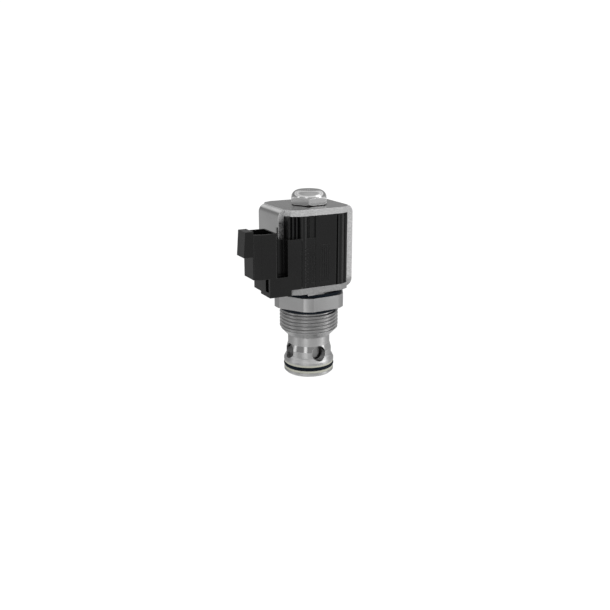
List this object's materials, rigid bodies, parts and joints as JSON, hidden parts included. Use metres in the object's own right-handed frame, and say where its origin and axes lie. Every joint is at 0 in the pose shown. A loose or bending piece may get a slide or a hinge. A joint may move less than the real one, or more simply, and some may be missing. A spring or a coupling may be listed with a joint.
{
  "type": "cartridge valve",
  "caption": "Screw-in solenoid cartridge valve: threaded hexagon body with ported cage, square coil in a bent steel frame, moulded plug shroud and domed coil nut.",
  "frame": {"origin": "on the valve axis in the sealing face under the hexagon", "axes": "+Z along the valve axis from the nose to the coil nut, -X towards the connector, -Y the front of the coil"},
  "size_m": [0.0664, 0.0386, 0.1038],
  "materials": {
    "zinc_steel": "zinc plated, fine sheared edges",
    "machined_steel": "turned, satin",
    "nut_steel": "bright zinc plated",
    "hard_steel": "ground and hardened",
    "stainless": "drawn stainless",
    "black_moulding": "glass filled nylon, fine texture",
    "bobbin_plastic": "moulded",
    "copper_wire": "enamelled copper wire",
    "tinned_contact": "tin plated",
    "black_rubber": "matt nitrile",
    "ptfe": "cream PTFE",
    "spring_steel": "drawn spring wire"
  },
  "bodies": {
    "cartridge": {"hex_body": "machined_steel", "cage": "machined_steel", "seat_ring": "hard_steel", "body_oring": "black_rubber", "nose_oring": "black_rubber", "backup_ring_upper": "ptfe", "backup_ring_lower": "ptfe", "tube_base": "machined_steel", "tube_oring": "black_rubber", "guide_tube": "stainless", "pole_piece": "machined_steel", "coil_gasket": "black_rubber", "poppet_spring": "spring_steel", "armature_spring": "spring_steel"},
    "poppet": {"main_poppet": "hard_steel", "poppet_ring": "ptfe", "pilot_seat": "hard_steel"},
    "plunger": {"armature": "machined_steel", "pilot_pin": "hard_steel"},
    "coil": {"yoke": "zinc_steel", "lower_flux_bush": "zinc_steel", "upper_flux_bush": "zinc_steel", "flux_washer": "zinc_steel", "bobbin": "bobbin_plastic", "winding": "copper_wire", "contact_pins": "tinned_contact", "coil_moulding": "black_moulding"},
    "nut_seal": {"nut_oring": "black_rubber"},
    "nut": {"coil_nut": "nut_steel"}
  },
  "joints": [
    {"name": "armature_lift", "type": "slide", "parent": "cartridge", "child": "plunger", "axis": [0, 0, 1], "range_m": [0, 0.0024], "stiffness_N_per_m": 900, "springref_m": -0.004, "deforming": ["armature_spring"]},
    {"name": "poppet_lift", "type": "slide", "parent": "cartridge", "child": "poppet", "axis": [0, 0, 1], "range_m": [0, 0.002], "deforming": ["poppet_spring"]},
    {"name": "coil_swivel", "type": "hinge", "parent": "cartridge", "child": "coil", "pos_m": [0, 0, 0.033], "axis": [0, 0, 1], "continuous": true},
    {"name": "nut_lift", "type": "slide", "parent": "cartridge", "child": "nut_seal", "axis": [0, 0, 1], "range_m": [0, 0.003]},
    {"name": "nut_turn", "type": "hinge", "parent": "nut_seal", "child": "nut", "pos_m": [0, 0, 0.06], "axis": [0, 0, 1], "range_deg": [0, 720]}
  ],
  "couplings": [
    {"joint": "poppet_lift", "follows": "armature_lift", "ratio": 0.8333},
    {"joint": "nut_turn", "follows": "nut_lift", "rad_per_m": 4188.7}
  ]
}
